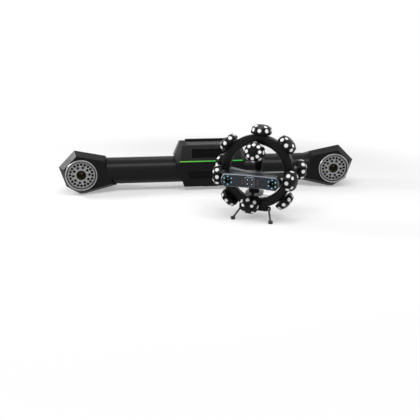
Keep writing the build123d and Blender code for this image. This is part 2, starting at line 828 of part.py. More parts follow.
def wing_place(side):
    """The middle of a wing's front face at its lens, facing forwards and inwards."""
    run = (lens_half - bar_flat_half) * tan(radians(bar_toe))
    return Plane(origin=(side * lens_half, -bar_front - run, bar_middle), x_dir=(1, 0, 0),
                 z_dir=(0, -1, 0)).location * Rot(0, -side * bar_toe, 0)


def bar_block(front, back):
    """The camera bar between two depths behind its front face: a shallow C in plan."""
    rise = (bar_half - bar_flat_half) * tan(radians(bar_toe))
    plan = [
        (-bar_half, -bar_front - rise + front),
        (-bar_flat_half, -bar_front + front),
        (bar_flat_half, -bar_front + front),
        (bar_half, -bar_front - rise + front),
        (bar_half, -bar_front - rise + back),
        (bar_flat_half, -bar_front + back),
        (-bar_flat_half, -bar_front + back),
        (-bar_half, -bar_front - rise + back),
    ]
    half = bar_height / 2
    outline = mirrored([
        (bar_half - bar_corner, bar_middle - half),
        (bar_half, bar_middle - half + bar_corner),
        (bar_half, bar_middle + half - bar_corner),
        (bar_half - bar_corner, bar_middle + half),
    ])
    plane = Plane(origin=(0, 0, 0), x_dir=(1, 0, 0), z_dir=(0, -1, 0))
    return prism_z(plan, -beyond, beyond) & extrude(plane * flat(outline), amount=beyond)


def front_rim(solid):
    """The edges round the front of a solid, without those between its front faces."""
    edges = [edge for face in solid.faces() if face.normal_at().Y < -0.9 for edge in face.edges()]
    return [edge for edge in edges if sum(edge.is_same(other) for other in edges) == 1]


def make_bar(screws):
    front = bar_block(0.0, bar_split)
    front = chamfer(front_rim(front), bar_bevel)
    rear = bar_block(bar_split, bar_depth)
    barrels = []
    glasses = []
    lights = []
    for side in (-1, 1):
        place = wing_place(side)
        front -= place * rod_z(bar_lens_radius, -bar_split - 2, 5.0)
        front -= place * rod_z(bar_plate_radius + fit_gap, -bar_plate_depth, 5.0)
        barrel = rod_z(bar_lens_radius - fit_gap, -bar_split + 1.0, 0.8)
        barrel += rod_z(bar_plate_radius, -bar_plate_depth, -0.4)
        barrel -= rod_z(bar_lens_radius - bar_lens_wall, -bar_split + 3.0, 2.0)
        glass = rod_z(bar_lens_radius - bar_lens_wall - fit_gap, -bar_split + 3.0, -3.0)
        glass &= Pos(0, 0, -3.0 - bar_lens_curve) * Sphere(bar_lens_curve)
        glasses.append(place * glass)
        for step in range(bar_lights):
            turn = radians(360.0 * step / bar_lights)
            x = bar_light_circle * sin(turn)
            y = bar_light_circle * cos(turn)
            drilled = rod_z(bar_light_radius, -4.0, 5.0, x, y)
            front -= place * drilled
            barrel -= drilled
            lights.append(place * rod_z(bar_light_radius - fit_gap, -4.0, 0.3, x, y))
        barrels.append(place * barrel)
        for x, y in bar_screws:
            back = place * Pos(side * x, y, -bar_depth * cos(radians(bar_toe))) * Rot(180, 0, 0)
            rear -= back * screw_hole()
            screws.append(back * screw())
    indicators = []
    for side in (-1, 1):
        for step in range(4):
            z = bar_middle + (step - 1.5) * indicator_pitch
            x = side * indicator_offset
            front -= rod_y(indicator_radius, -bar_front - 1, -bar_front + 3.0, x, z)
            indicators.append(rod_y(indicator_radius - fit_gap / 2, -bar_front - 0.2, -bar_front + 3.0, x, z))
    module_face = RectangleRounded(laser_width, laser_height, laser_corner)
    plane = Plane(origin=(0, -bar_front - laser_proud, bar_middle), x_dir=(1, 0, 0), z_dir=(0, -1, 0))
    module = extrude(plane * module_face, amount=-laser_proud)
    module = chamfer(module.edges().group_by(Axis.Y)[0], 1.5)
    for x in (-laser_pitch / 2, laser_pitch / 2):
        for z in (-laser_pitch / 2, laser_pitch / 2):
            hole = rod_y(laser_lens_radius, -bar_front - laser_proud - 1, -bar_front - 1.0, x, bar_middle + z)
            module -= hole
            glasses.append(rod_y(laser_lens_radius - fit_gap, -bar_front - laser_proud + 0.8, -bar_front - 1.0,
                                 x, bar_middle + z))
    save_scanner("bar_front_shell", front)
    save_scanner("bar_rear_shell", rear)
    save_scanner("bar_lens_barrels", *barrels)
    save_scanner("scanner_glasses", *glasses)
    save_scanner("lens_lights", *lights)
    save_scanner("indicator_lights", *indicators)
    save_scanner("laser_module", module)
    save_scanner("scanner_screws", *screws)


def spoke(side):
    """A curved arm from the hub to the ring's inner face."""
    inner_front = (side * (hub_half - 2.0), -hub_back - spoke_root)
    inner_back = (side * (hub_half - 2.0), -hub_back)
    outer_front = (side * (ring_inner + 4.0), -spoke_tip)
    outer_back = (side * (ring_inner + 4.0), spoke_tip)
    front_edge = ThreePointArc(inner_front, (side * spoke_bow, -spoke_bow_front), outer_front)
    back_edge = ThreePointArc(outer_back, (side * spoke_bow, -spoke_bow_back), inner_back)
    outline = Curve() + [front_edge, Line(outer_front, outer_back), back_edge, Line(inner_back, inner_front)]
    solid = extrude(Plane.XY.offset(spoke_bottom) * make_face(outline), amount=spoke_top - spoke_bottom)
    return solid & rod_y(ring_inner, -beyond, beyond)


def make_frame():
    hub = block(-hub_half, hub_half, -hub_front, -hub_back, hub_bottom, hub_top)
    hub = chamfer(hub.edges().filter_by(Axis.Z), 4.0)
    frame = hub + spoke(-1) + spoke(1)
    deep = -hub_back - button_well
    frame -= rod_y(scan_button_radius + fit_gap, deep, 0.0, 0.0, button_height)
    for x in (-side_button_offset, side_button_offset):
        frame -= rod_y(side_button_radius + fit_gap, deep, 0.0, x, button_height)
    out = cos(radians(arm_tilt))
    along = sin(radians(arm_tilt))
    arms = []
    for side in (-1, 1):
        base = (side * front_dome_x, front_dome_y)
        ring_face = -ring_depth / 2
        ring_x = base[0] + side * (ring_face - base[1]) * tan(radians(arm_tilt))
        bar_face = bar_rear_face()
        bar_x = base[0] + side * (bar_face - base[1]) * tan(radians(arm_tilt))
        plan = [
            (ring_x, ring_face),
            (bar_x, bar_face),
            (bar_x - side * arm_thickness / out, bar_face),
            (ring_x - side * arm_root, ring_face),
        ]
        arms.append(prism_z(plan, front_dome_z - arm_half_height, front_dome_z + arm_half_height))
        rear = (side * rear_dome_x, rear_dome_y)
        pad_end = (rear[0] - side * along * arm_pad, rear[1] + out * arm_pad)
        plan = [
            (rear[0] + side * along * arm_pad, rear[1] - out * arm_pad),
            pad_end,
            (pad_end[0] - side * out * arm_thickness, pad_end[1] - along * arm_thickness),
            (side * (ring_outer - arm_rear_inner), -ring_face),
            (side * (ring_outer - arm_rear_outer), -ring_face),
        ]
        arms.append(prism_z(plan, rear_dome_z - arm_rear_half_height, rear_dome_z + arm_rear_half_height))
    save_scanner("cross_frame", frame)
    save_scanner("side_arms", *arms)
    face = -hub_back + button_stands
    scan = rod_y(scan_button_radius, deep + scan_button_travel + 0.4, face, 0.0, button_height)
    save_scanner("scan_button", scan)
    for x, word in ((-side_button_offset, "left"), (side_button_offset, "right")):
        key = rod_y(side_button_radius, deep + scan_button_travel + 0.4, face, x, button_height)
        save_scanner("key_button_" + word, key)


def bar_rear_face():
    """Y of the camera bar's back face near its ends."""
    run = (bar_half - bar_flat_half - 6.0) * tan(radians(bar_toe))
    return -bar_front - run + bar_depth


def make_handle():
    grip = Ellipse(grip_half_width, grip_half_depth)
    bottom = Pos(0, grip_middle, -ring_outer + 2.0) * grip
    top = Pos(0, grip_middle - 6.0, hub_bottom) * grip
    body = loft([bottom, top], ruled=True)
    down = radians(bottom_dome_tilt)
    away = facing(bottom_dome_x, bottom_dome_y, bottom_dome_z, (0, -cos(down), -sin(down)))
    foot = block(-grip_foot_left, grip_foot_right, -beyond / 2, -ring_depth / 2, -ring_outer, -grip_foot_top)
    body += foot
    body -= away * block(-beyond, beyond, -beyond, beyond, 0.0, beyond)
    body -= rod_y(ring_outer, -ring_depth / 2, beyond) - rod_y(ring_inner, -beyond, 2 * beyond)
    save_scanner("handle", body)
    save_scanner("cable_socket", make_cable_socket() - body)
    make_clamp(body)


def make_cable_socket():
    """The threaded metal socket of the cable, on the back of the grip."""
    back = grip_middle + grip_half_depth
    socket = rod_y(socket_radius, back - 8.0, back + 5.0, 0.0, socket_height)
    return socket - rod_y(socket_radius - 1.5, back - 1.0, back + 6.0, 0.0, socket_height)


def make_clamp(grip):
    """The bright collar round the grip's foot and the lever that locks it."""
    low = collar_height - collar_thickness / 2
    high = collar_height + collar_thickness / 2
    collar = block(-collar_half, collar_half, grip_middle - collar_depth, grip_middle + collar_depth, low, high)
    collar = fillet(collar.edges().filter_by(Axis.Z), collar_corner)
    collar -= grip
    under = low - seat_gap - lever_thickness
    pin = rod_z(lever_pin_radius, under - 1.0, low, lever_pin_x, grip_middle)
    head = rod_z(lever_head, under - 2.0, under - seat_gap, lever_pin_x, grip_middle)
    outline = [
        (0.0, -lever_knuckle),
        (lever_length, -lever_tip),
        (lever_length, lever_tip),
        (0.0, lever_knuckle),
    ]
    bar = extrude(Pos(lever_pin_x, grip_middle, under) * flat(outline), amount=lever_thickness)
    bar = fillet(bar.edges().filter_by(Axis.Z).group_by(Axis.X)[-1], lever_tip - 0.5)
    lever = bar + rod_z(lever_knuckle, under, under + lever_thickness, lever_pin_x, grip_middle)
    lever -= rod_z(lever_pin_radius + fit_gap, under - 1.0, low, lever_pin_x, grip_middle)
    save_scanner("clamp_collar", collar + pin + head)
    save_scanner("clamp_lever", lever)


def make_pod():
    up = radians(pod_tilt)
    axis = facing(0, pod_front, pod_height, (0, cos(up), -sin(up)))
    shoulder = Pos(0, 0, pod_length - pod_nose) * Circle(pod_end_radius)
    end = Pos(0, 0, pod_length) * Circle(pod_end_radius - pod_nose + 1.0)
    body = axis * loft([Circle(pod_radius), shoulder, end], ruled=True)
    post = block(-mast_half_width, mast_half_width, mast_middle - mast_half_depth, mast_middle + mast_half_depth,
                 spoke_bottom, pod_height - mast_below)
    foot = block(-mast_half_width, mast_half_width, -hub_back, mast_middle - mast_half_depth, spoke_bottom, 4.0)
    save_scanner("rear_pod", body + post + foot)


def leg_place(x, y, heading):
    """The pin's middle, with X pointing outwards along the leg's heading."""
    return Pos(x, y, pin_height) * Rot(0, 0, heading)


def make_stand():
    plan = [
        (-saddle_half, -saddle_front),
        (saddle_half, -saddle_front),
        (saddle_half, saddle_side_back),
        (saddle_back_half, saddle_back),
        (-saddle_back_half, saddle_back),
        (-saddle_half, saddle_side_back),
    ]
    ring_space = rod_y(ring_outer, -beyond, beyond)
    saddle = prism_z(plan, saddle_bottom, saddle_side_top) - ring_space
    pins = []
    for name, (x, y, heading) in leg_roots.items():
        place = leg_place(x, y, heading)
        slot = leg_radius + seat_gap
        wide = leg_radius + leg_ear
        ear = rod_y(ear_radius, -wide, wide) + block(-ear_root, 0.0, -wide, wide, -ear_radius, ear_radius)
        saddle += place * ear
        saddle -= ring_space
        saddle -= place * block(-leg_radius - 1.5, beyond, -slot, slot, -beyond, beyond)
        saddle -= place * rod_y(leg_pin_radius, -ear_root, ear_root)
        pins.append(place * rod_y(leg_pin_radius, -wide, wide))
        swing = Rot(0, 90.0 + (90.0 - leg_spread), 0)
        rod = swing * rod_z(leg_radius, 0.0, leg_length)
        knuckle = rod_y(leg_radius + 1.0, -leg_radius, leg_radius)
        leg = (rod + knuckle) - rod_y(leg_pin_radius + fit_gap, -wide, wide)
        reach = leg_length * sin(radians(leg_spread))
        sole = -scanner_height - pin_height
        foot = rod_z(foot_radius, sole, sole + foot_height, reach)
        leg -= foot
        save_scanner(name, place * leg, place * foot)
    save_scanner("stand_saddle", saddle)
    save_scanner("stand_pins", *pins)


def make_heads(screws):
    """Both camera heads; pieces of the same kind share a node."""
    groups = {"tracker_screws": screws}
    for side in (-1, 1):
        for name, solids in make_head(side).items():
            groups.setdefault(name, [])
            groups[name] += solids if isinstance(solids, list) else [solids]
    for name, solids in groups.items():
        save(name, *solids)


def write_all():
    """Write each node with the origin at the mouth of the tripod thread."""
    to_origin = Pos(0, 0, -mount_drop)
    for name, solids in tray.items():
        pieces = []
        for solid in solids:
            pieces += (to_origin * solid).solids()
        export_step(Compound(children=pieces), "parts/" + name + ".step")


make_heads(make_housing())
make_tube()
make_domes()
make_bar(make_ring())
make_frame()
make_handle()
make_pod()
make_stand()
write_all()
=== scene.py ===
from math import atan2, cos, pi, radians, sin, tan

import bmesh
import bpy
from mathutils import Matrix, Vector


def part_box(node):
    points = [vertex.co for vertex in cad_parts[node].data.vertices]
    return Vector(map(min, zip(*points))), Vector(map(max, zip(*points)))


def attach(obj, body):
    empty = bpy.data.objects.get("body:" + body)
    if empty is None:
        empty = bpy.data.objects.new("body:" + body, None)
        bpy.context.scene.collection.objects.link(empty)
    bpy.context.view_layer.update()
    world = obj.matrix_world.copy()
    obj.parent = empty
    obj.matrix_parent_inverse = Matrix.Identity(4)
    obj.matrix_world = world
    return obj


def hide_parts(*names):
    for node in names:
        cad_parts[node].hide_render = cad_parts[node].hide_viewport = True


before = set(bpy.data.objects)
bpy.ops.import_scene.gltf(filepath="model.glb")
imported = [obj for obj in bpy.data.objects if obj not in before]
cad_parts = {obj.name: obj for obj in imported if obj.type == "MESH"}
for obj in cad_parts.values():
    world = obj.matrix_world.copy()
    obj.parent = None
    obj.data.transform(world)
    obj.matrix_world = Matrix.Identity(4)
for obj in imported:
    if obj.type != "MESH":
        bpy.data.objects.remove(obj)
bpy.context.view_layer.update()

scene = bpy.context.scene
scene.view_settings.view_transform = "Standard"


# The camera looks down at the set from half a metre above the floor, a little left of the
# middle. Its place and field come from the two camera heads, the tube and the scanner's ring.
camera_data = bpy.data.cameras.new("camera")
camera_data.sensor_width = 36.0
camera_data.lens = 38.53
camera = bpy.data.objects.new("camera", camera_data)
look_down = 0.333
look_right = atan2(0.1167, 0.9932)
camera.location = (-0.1939, -1.6769, 0.4763)
camera.rotation_euler = (radians(90.0) - look_down, 0.0, -look_right)
scene.collection.objects.link(camera)
scene.camera = camera


class Wire:
    """A number, a colour or a direction on its way from one node of a finish to the next."""

    def __init__(self, finish, socket):
        self.finish = finish
        self.socket = socket

    def math(self, operation, first, second=0.0):
        return self.finish.node("ShaderNodeMath", {"operation": operation}, {0: first, 1: second})

    def __add__(self, other):
        return self.math("ADD", self, other)

    __radd__ = __add__

    def __sub__(self, other):
        return self.math("SUBTRACT", self, other)

    def __rsub__(self, other):
        return self.math("SUBTRACT", other, self)

    def __mul__(self, other):
        return self.math("MULTIPLY", self, other)

    __rmul__ = __mul__

    def __truediv__(self, other):
        return self.math("DIVIDE", self, other)

    def __mod__(self, other):
        return self.math("FLOORED_MODULO", self, other)

    def __gt__(self, other):
        return self.math("GREATER_THAN", self, other)

    def __lt__(self, other):
        return self.math("LESS_THAN", self, other)


class Finish:
    """A material of this set, or its surround. node() adds any node, and surface() closes it."""

    def __init__(self, name, owner=None):
        self.material = owner or bpy.data.materials.new(name)
        self.material.use_nodes = True
        self.tree = self.material.node_tree
        self.tree.nodes.clear()
        self.spot = self.node("ShaderNodeTexCoord", output="Object")

    def node(self, kind, settings=None, inputs=None, output=0):
        made = self.tree.nodes.new(kind)
        for key, value in (settings or {}).items():
            setattr(made, key, value)
        for key, value in (inputs or {}).items():
            if isinstance(value, Wire):
                self.tree.links.new(value.socket, made.inputs[key])
            else:
                made.inputs[key].default_value = value
        return Wire(self, made.outputs[output]) if made.outputs else None

    def axis(self, place, letter):
        return self.node("ShaderNodeSeparateXYZ", None, {0: place}, letter)

    def grain(self, scale, detail=2.0):
        """Cloudy noise, about 0.5 in the mean; scale is in cells per metre."""
        return self.node("ShaderNodeTexNoise", None, {"Vector": self.spot, "Scale": scale, "Detail": detail})

    def band(self, value, low, high, start=0.0, end=1.0):
        """Runs smoothly from start to end as the value goes from low to high."""
        return self.node("ShaderNodeMapRange", {"interpolation_type": "SMOOTHSTEP"},
                         {"Value": value, "From Min": low, "From Max": high, "To Min": start, "To Max": end})

    def mix(self, factor, first, second):
        return self.node("ShaderNodeMix", {"data_type": "RGBA"}, {0: factor, 6: first, 7: second}, 2)

    def relief(self, height, depth):
        return self.node("ShaderNodeBump", None, {"Height": height, "Distance": depth, "Strength": 1.0})

    def surface(self, **sockets):
        inputs = {key.replace("_", " "): value for key, value in sockets.items()}
        shader = self.node("ShaderNodeBsdfPrincipled", None, inputs)
        self.node("ShaderNodeOutputMaterial", None, {"Surface": shader})
        return self.material


# The studio: a pale floor that keeps the shadows and runs out into white, a white surround,
# a long strip lamp over the front, a box at the far left and three broad soft lamps.
floor_height = -0.0101
floor_reach = 6.0
white_from = 0.65
white_beyond = 1.3
white_in_middle = 0.35
fill_light = 0.25
pure_white = (1.0, 1.0, 1.0, 1.0)
bm = bmesh.new()
bmesh.ops.create_circle(bm, cap_ends=True, radius=floor_reach, segments=64)
bmesh.ops.translate(bm, verts=bm.verts, vec=(0.0, 0.0, floor_height))
floor_mesh = bpy.data.meshes.new("floor")
bm.to_mesh(floor_mesh)
bm.free()
floor = bpy.data.objects.new("floor", floor_mesh)
scene.collection.objects.link(floor)


def seen_plainly(finish):
    """1 where the camera, a gloss or clear glass looks, 0 for the light that falls on things."""
    camera_ray, glossy_ray, clear_ray = [
        finish.node("ShaderNodeLightPath", output=ray)
        for ray in ("Is Camera Ray", "Is Glossy Ray", "Is Transmission Ray")]
    return camera_ray + glossy_ray + clear_ray > 0.5


paper = Finish("pale floor")
distance = paper.node("ShaderNodeVectorMath", {"operation": "LENGTH"}, {0: paper.spot}, "Value")
lit = paper.node("ShaderNodeBsdfDiffuse", None, {"Color": (0.82, 0.82, 0.82, 1.0)})
white = paper.node("ShaderNodeEmission", None, {"Color": pure_white, "Strength": 1.0})
share = paper.band(distance, white_from, white_beyond, white_in_middle, 1.0) * seen_plainly(paper)
mixed = paper.node("ShaderNodeMixShader", None, {0: share, 1: lit, 2: white})
paper.node("ShaderNodeOutputMaterial", None, {"Surface": mixed})
floor_mesh.materials.append(paper.material)

scene.world = bpy.data.worlds.new("surround")
air = Finish("surround", scene.world)
sky = air.node("ShaderNodeBackground", None, {
    "Color": pure_white, "Strength": seen_plainly(air) * (1.0 - fill_light) + fill_light})
air.node("ShaderNodeOutputWorld", None, {"Surface": sky})

for name, watts, width, height, spot, target in (
        ("strip lamp", 21.0, 2.0, 0.30, (0.1, -0.85, 1.4), (0.1, 0.0, 0.06)),
        ("left box", 20.0, 0.5, 0.5, (-1.67, 0.33, 0.93), (-0.5, 0.0, 0.07)),
        ("overhead lamp", 6.0, 1.4, 0.5, (0.1, 0.9, 1.7), (0.0, 0.0, 0.1)),
        ("front lamp", 4.0, 1.0, 1.0, (-1.3, -1.6, 1.3), (0.0, -0.1, 0.05)),
        ("side lamp", 5.0, 0.6, 0.6, (1.7, -0.5, 0.9), (0.1, -0.2, 0.05))):
    lamp_data = bpy.data.lights.new(name, "AREA")
    lamp_data.energy = watts
    lamp_data.shape = "RECTANGLE"
    lamp_data.size = width
    lamp_data.size_y = height
    lamp = bpy.data.objects.new(name, lamp_data)
    lamp.location = spot
    lamp.rotation_euler = (Vector(target) - Vector(spot)).to_track_quat("-Z", "Y").to_euler()
    scene.collection.objects.link(lamp)


# Camera heads: two cast shells with large facets and a wide bevel round the front, painted
# charcoal with a fine grain, and a flat cover screwed on behind each of them.
def piece(name, bm, finish, body, *nodes, crease=32.0):
    """An object made of a mesh, with its finish, its body and the nodes it stands for."""
    mesh = bpy.data.meshes.new(name)
    bm.to_mesh(mesh)
    bm.free()
    mesh.shade_smooth()
    mesh.set_sharp_from_angle(angle=radians(crease))
    mesh.materials.append(finish)
    made = bpy.data.objects.new(name, mesh)
    scene.collection.objects.link(made)
    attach(made, body)
    if nodes:
        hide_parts(*nodes)
    return made


same_spot = 0.00001
flat_within = radians(0.6)
edge_from = radians(30.0)


def solid(node):
    """A merged copy of a node's solid, with its flat faces whole."""
    bm = bmesh.new()
    bm.from_mesh(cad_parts[node].data)
    bmesh.ops.remove_doubles(bm, verts=bm.verts, dist=same_spot)
    bmesh.ops.dissolve_limit(bm, angle_limit=flat_within, verts=bm.verts, edges=bm.edges)
    return bm


def edged(node, finish, body, width, segments=3, shape=None):
    """The node's solid again with its edges rounded, in place of the node."""
    made = piece(node + "_shape", shape or solid(node), finish, body, node)
    bevel = made.modifiers.new("edges", "BEVEL")
    bevel.width = width
    bevel.segments = segments
    bevel.limit_method = "ANGLE"
    bevel.angle_limit = edge_from
    shading = made.modifiers.new("shading", "WEIGHTED_NORMAL")
    shading.keep_sharp = True
    shading.weight = 80
    return made


def painted(name, colour, edge_wear_and_highlight_colour, roughness, specular):
    """Sprayed paint with a fine grain, faint clouds in its gloss and lighter edges, partly rubbed and partly
    a painted highlight.
    """
    paint = Finish(name)
    cloud_colour = [channel * 1.5 for channel in colour[:3]] + [1.0]
    grain_depth = 0.00004
    rubbed_and_highlit_width = 0.0012
    cloud = paint.grain(14.0, 4.0)
    speck = paint.grain(1900.0, 1.0)
    rounded = paint.node("ShaderNodeBevel", {"samples": 6}, {"Radius": rubbed_and_highlit_width})
    flat = paint.node("ShaderNodeNewGeometry", output="Normal")
    turn = paint.node("ShaderNodeVectorMath", {"operation": "DOT_PRODUCT"}, {0: rounded, 1: flat}, "Value")
    # Painted highlight: the lighter edges stand partly for rubbed paint and partly for light caught along the
    # edges.
    worn_and_highlit_edges = paint.band(turn, 0.985, 0.93) * paint.band(paint.grain(160.0, 3.0), 0.42, 0.62)
    tone = paint.mix(paint.band(cloud, 0.3, 0.7, 0.0, 0.35), colour, cloud_colour)
    return paint.surface(
        Base_Color=paint.mix(worn_and_highlit_edges * 0.7, tone, edge_wear_and_highlight_colour),
        Roughness=paint.band(cloud, 0.25, 0.75, roughness - 0.05, roughness + 0.06) + speck * 0.05,
        Specular_IOR_Level=specular,
        Normal=paint.relief(speck, grain_depth))


charcoal = painted("charcoal paint", (0.004, 0.004, 0.0043, 1.0), (0.10, 0.10, 0.104, 1.0), 0.32, 0.10)
edged("head_shells", charcoal, "tracker", 0.0016)
edged("head_back_covers", charcoal, "tracker", 0.0016)


# Bezels: turned aluminium rims that hold the light plates. The crest of each is bright,
# and the funnel inside it is coloured dark as painted shade for the recess.
def spun(profile, steps, closed=False):
    """A profile of radius and height spun about Z, as on a lathe."""
    bm = bmesh.new()
    points = [bm.verts.new((radius, 0.0, height)) for radius, height in profile]
    lines = [bm.edges.new(pair) for pair in zip(points, points[1:])]
    if closed:
        lines.append(bm.edges.new((points[-1], points[0])))
    bmesh.ops.spin(bm, geom=points + lines, cent=(0.0, 0.0, 0.0), axis=(0.0, 0.0, 1.0), angle=2.0 * pi,
                   steps=steps, use_merge=True)
    bmesh.ops.remove_doubles(bm, verts=bm.verts, dist=0.000002)
    bmesh.ops.recalc_face_normals(bm, faces=bm.faces)
    return bm


def millimetres(profile):
    return [(radius / 1000.0, height / 1000.0) for radius, height in profile]


def repeated(one, places):
    """A mesh with a copy of one small piece at each place."""
    mesh = bpy.data.meshes.new("one")
    one.to_mesh(mesh)
    one.free()
    bm = bmesh.new()
    for place in places:
        start = len(bm.verts)
        bm.from_mesh(mesh)
        bm.verts.ensure_lookup_table()
        bmesh.ops.transform(bm, matrix=place, verts=bm.verts[start:])
    bpy.data.meshes.remove(mesh)
    return bm


face_front = Matrix.Rotation(radians(90.0), 4, "X")
head_out = 0.470
head_forward = 0.067
head_height = 0.066
toe_in = 10.5
head_faces = []
for side in (-1, 1):
    head_middle = Matrix.Translation((head_out * side, -head_forward, head_height))
    head_faces.append(head_middle @ Matrix.Rotation(radians(-toe_in * side), 4, "Z") @ face_front)

bezel_profile = millimetres([
    (48.2, 0.0), (48.2, 0.8), (48.6, 1.1), (51.6, 5.6), (51.9, 6.0), (52.3, 6.4), (52.8, 6.5), (53.9, 6.5),
    (54.6, 6.3), (55.3, 5.5), (55.8, 4.7), (56.0, 3.9), (56.0, 0.0)])
turned = Finish("turned aluminium")
haze = turned.grain(30.0, 3.0)
rings = turned.grain(2600.0, 1.0)
turned.surface(
    Base_Color=turned.mix(haze, (0.24, 0.24, 0.244, 1.0), (0.40, 0.40, 0.404, 1.0)),
    Metallic=1.0, Roughness=turned.band(rings, 0.2, 0.8, 0.26, 0.42), Normal=turned.relief(rings, 0.00003))
funnel = Finish("turned rim with painted shade in its funnel")
beside = funnel.node("ShaderNodeVectorMath", {"operation": "ABSOLUTE"}, {0: funnel.spot}, "Vector")
away = funnel.node("ShaderNodeVectorMath", {"operation": "DISTANCE"},
                   {0: beside, 1: (head_out, head_forward, head_height)}, "Value")
crest_from = 0.0516
crest_full = 0.0522
crest = funnel.band(away, crest_from, crest_full)
rings = funnel.grain(2600.0, 1.0)
bright = funnel.mix(funnel.grain(30.0, 3.0), (0.26, 0.26, 0.264, 1.0), (0.42, 0.42, 0.424, 1.0))
# Painted shade: the funnel inside the crest is coloured near black to stand for the shade in the bezel's
# recess.
funnel.surface(
    Base_Color=funnel.mix(crest, (0.012, 0.012, 0.0123, 1.0), bright), Metallic=crest,
    Roughness=funnel.band(rings, 0.2, 0.8, 0.28, 0.44), Specular_IOR_Level=0.2,
    Normal=funnel.relief(rings, 0.00003))
piece("bezels", repeated(spun(bezel_profile, 128, closed=True), head_faces), funnel.material, "tracker",
      "bezel_rings")


# Light plates: anodised discs sunk behind the bezels and drilled for two circles of infrared
# lights round the lens. The lights are dark domes, each in a black bushing with a thin rim.
anodised = Finish("grey anodised aluminium")
haze = anodised.grain(40.0, 3.0)
tooth = anodised.grain(2200.0, 2.0)
anodised.surface(
    Base_Color=anodised.mix(haze, (0.18, 0.18, 0.183, 1.0), (0.25, 0.25, 0.254, 1.0)),
    Metallic=0.2, Roughness=anodised.band(tooth, 0.2, 0.8, 0.42, 0.56),
    Normal=anodised.relief(tooth, 0.00003))
edged("light_plates", anodised.material, "tracker", 0.0003, 2)

light_places = []
for side, head_face in zip((-1, 1), head_faces):
    for count, circle, turned_by in ((20, 0.039, 4.5), (10, 0.028, 16.0)):
        for step in range(count):
            turn = 2.0 * pi * step / count - side * radians(turned_by)
            light_places.append(head_face @ Matrix.Translation((circle * sin(turn), circle * cos(turn), 0.0)))
light_profile = millimetres([
    (0.0, -7.0), (3.9, -7.0), (3.9, 0.05), (4.6, 0.05), (4.6, 0.2), (4.4, 0.3), (3.7, 0.2), (3.4, -1.0),
    (3.2, -3.0), (2.9, -3.2), (2.4, -2.6), (1.5, -2.1), (0.0, -2.0)])
infrared = Finish("dark infrared light")
infrared.surface(
    Base_Color=infrared.mix(infrared.grain(400.0), (0.002, 0.0015, 0.002, 1.0), (0.008, 0.003, 0.005, 1.0)),
    Roughness=infrared.band(infrared.grain(900.0), 0.3, 0.7, 0.2, 0.35), Specular_IOR_Level=0.04)
piece("infrared_domes", repeated(spun(light_profile, 16), light_places), infrared.material, "tracker",
      "infrared_lights")


# Tracker lenses: black anodised barrels with fine ribs inside against stray light,
# and coated glass with a painted amber highlight near the middle and a painted green reflection towards the
# lower rim.
barrel_profile = millimetres([
    (0.0, -38.0), (16.9, -38.0), (16.9, 0.5), (16.4, 1.0), (15.6, 1.0), (15.2, 0.6), (14.9, -0.6),
    (14.6, -0.6), (14.9, -1.8), (14.6, -1.8), (14.9, -3.0), (14.6, -3.0), (14.9, -4.2), (14.6, -4.2),
    (14.9, -5.4), (14.5, -5.4), (14.5, -11.0), (14.4, -35.4), (0.0, -35.4)])
black_anodised = Finish("black anodised aluminium")
tooth = black_anodised.grain(2400.0, 2.0)
black_anodised.surface(
    Base_Color=black_anodised.mix(
        black_anodised.grain(60.0, 3.0), (0.003, 0.003, 0.0032, 1.0), (0.008, 0.008, 0.0085, 1.0)),
    Roughness=black_anodised.band(tooth, 0.2, 0.8, 0.3, 0.45), Specular_IOR_Level=0.1,
    Normal=black_anodised.relief(tooth, 0.00002))
piece("lens_barrels", repeated(spun(barrel_profile, 64), head_faces), black_anodised.material, "tracker",
      "tracker_lens_barrels")


def lens_bowl(radius, curve, apex, edge):
    """A lens as seen from the front: a domed face, with its own flat map about its middle."""
    points = []
    steps = 12
    for step in range(steps + 1):
        reach = radius * (1.0 - step / steps)
        points.append((reach, apex - curve + (curve ** 2 - reach ** 2) ** 0.5))
    bm = spun([(0.0, edge), (radius, edge)] + points, 64)
    flat_map = bm.loops.layers.uv.new("lens")
    for face in bm.faces:
        for loop in face.loops:
            loop[flat_map].uv = (loop.vert.co.x / radius, loop.vert.co.y / radius)
    return bm


def coated(name, deep, painted_highlight, rim, highlight_at=(0.12, 0.42), highlight_size=0.2):
    """Coated glass over a black barrel: a painted highlight spot and a thin painted reflection in colour
    along the lower rim.
    """
    glass = Finish(name)
    place = glass.node("ShaderNodeUVMap", {"uv_map": "lens"})
    out = glass.node("ShaderNodeVectorMath", {"operation": "LENGTH"}, {0: place}, "Value")
    away = glass.node("ShaderNodeVectorMath", {"operation": "DISTANCE"}, {0: place, 1: (*highlight_at, 0.0)},
                      "Value")
    # Painted reflection: the thin coloured rim on the lower side and the slight tint towards the edge;
    # painted highlight: the bright spot.
    ring = glass.band(out, 0.86, 0.96) * glass.band(glass.axis(place, "Y"), 0.25, -0.55)
    film = glass.mix(glass.band(out, 0.1, 0.7) * 0.03, deep, rim)
    colour = glass.mix(glass.band(away, highlight_size, highlight_size * 0.35), glass.mix(ring, film, rim), painted_highlight)
    return glass.surface(
        Base_Color=colour, Roughness=0.12, Specular_IOR_Level=0.06, Coat_Weight=0.04, Coat_Roughness=0.03)


glass_with_painted_highlight = coated("amber and green coated glass", (0.0012, 0.001, 0.0004, 1.0), (0.45, 0.30, 0.05, 1.0),
                     (0.30, 0.30, 0.03, 1.0))
tracker_lens = lens_bowl(radius=0.0143, curve=0.030, apex=-0.007, edge=-0.014)
piece("lens_glasses", repeated(tracker_lens, head_faces), glass_with_painted_highlight, "tracker", "tracker_lenses")
edged("camera_bodies", black_anodised.material, "tracker", 0.0006)


# The tube: wound carbon fibre with a twill weave under a satin clear coat, glued into the
# heads and clamped in the housing. The weave is placed by the angle round it and its length.
tube_radius = 0.0494
tube_wall = 0.004
tube_length = 0.824
tube_axis = 0.064


